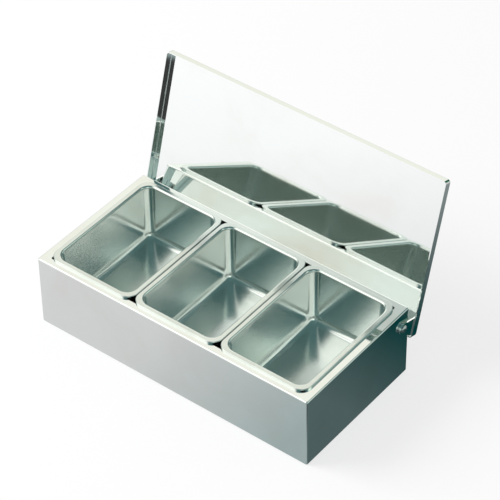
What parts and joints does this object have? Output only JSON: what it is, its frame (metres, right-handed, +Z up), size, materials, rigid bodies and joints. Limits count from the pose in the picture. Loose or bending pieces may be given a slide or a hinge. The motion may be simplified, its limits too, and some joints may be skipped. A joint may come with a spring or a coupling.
{
  "type": "condiment caddy with a flip lid",
  "caption": "Table-top stainless steel condiment caddy: a rectangular box with a turned-in ledge, lift-out pans hung side by side by their rims, and one shallow flip lid on riveted side ears.",
  "frame": {"origin": "middle of the box's underside, on the surface it stands on", "axes": "+X to the right along the box's long front, +Y to the rear where the lid is hinged, +Z up"},
  "size_m": [0.2574, 0.1654, 0.1577],
  "materials": {
    "polished_steel": "polished",
    "satin_steel": "satin",
    "rivet_steel": "polished"
  },
  "bodies": {
    "box": {"box_body": "polished_steel", "hinge_rivet_left": "rivet_steel", "hinge_rivet_right": "rivet_steel", "backing_washer_left": "rivet_steel", "backing_washer_right": "rivet_steel"},
    "lid_leaf": {"lid": "polished_steel", "hinge_ear_left": "polished_steel", "hinge_ear_right": "polished_steel"},
    "left_pan": {"pan_left": "satin_steel"},
    "middle_pan": {"pan_middle": "satin_steel"},
    "right_pan": {"pan_right": "satin_steel"},
    "left_spacer": {"spacer_washer_left": "rivet_steel"},
    "right_spacer": {"spacer_washer_right": "rivet_steel"}
  },
  "joints": [
    {"name": "lid_hinge", "type": "hinge", "parent": "box", "child": "lid_leaf", "pos_m": [0, 0.0527, 0.0485], "axis": [-1, 0, 0], "range_deg": [-107.6, 0]},
    {"name": "pan_left_lift", "type": "slide", "parent": "box", "child": "left_pan", "axis": [0, 0, 1], "range_m": [0, 0.06]},
    {"name": "pan_middle_lift", "type": "slide", "parent": "box", "child": "middle_pan", "axis": [0, 0, 1], "range_m": [0, 0.06]},
    {"name": "pan_right_lift", "type": "slide", "parent": "box", "child": "right_pan", "axis": [0, 0, 1], "range_m": [0, 0.06]},
    {"name": "spacer_washer_left_turn", "type": "hinge", "parent": "box", "child": "left_spacer", "pos_m": [-0.1254, 0.0527, 0.0485], "axis": [1, 0, 0], "continuous": true},
    {"name": "spacer_washer_right_turn", "type": "hinge", "parent": "box", "child": "right_spacer", "pos_m": [0.1254, 0.0527, 0.0485], "axis": [1, 0, 0], "continuous": true}
  ]
}
